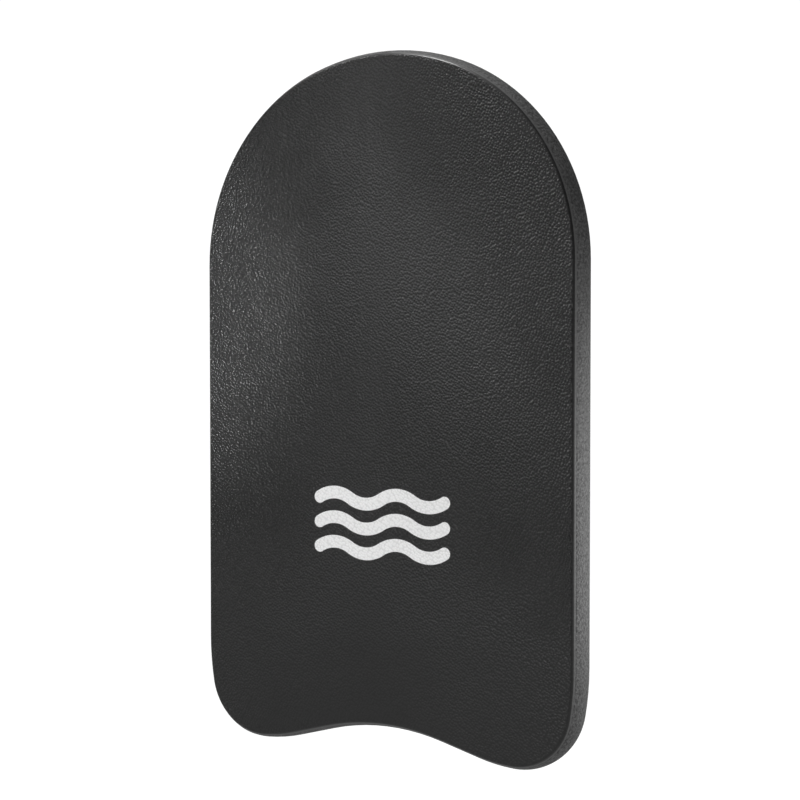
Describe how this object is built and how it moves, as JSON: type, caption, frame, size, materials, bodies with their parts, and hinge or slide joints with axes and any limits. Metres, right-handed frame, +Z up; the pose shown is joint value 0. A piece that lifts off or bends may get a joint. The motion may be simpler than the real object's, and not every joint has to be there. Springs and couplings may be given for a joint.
{
  "type": "kickboard",
  "caption": "Flat swimming kickboard of black EVA foam with a round nose, straight sides, rolled edges and a shallow notch between the tail lobes.",
  "frame": {"origin": "midway between the two tail lobes, level with their lowest points and in the middle of the board's thickness", "axes": "+X across the board, +Y through its thickness from the printed front face to the back face, +Z up from the tail to the nose"},
  "size_m": [0.29, 0.025, 0.4649],
  "materials": {
    "grained_eva": "black closed-cell EVA foam sheet, embossed with a fine leather grain, dull satin",
    "cut_eva": "black closed-cell EVA foam, cut and sanded, open pores, matt",
    "printing_ink": "white screen-printing ink, lying in the grain, matt"
  },
  "bodies": {
    "root": {"front_skin": "grained_eva", "core": "cut_eva", "back_skin": "grained_eva"}
  },
  "joints": []
}
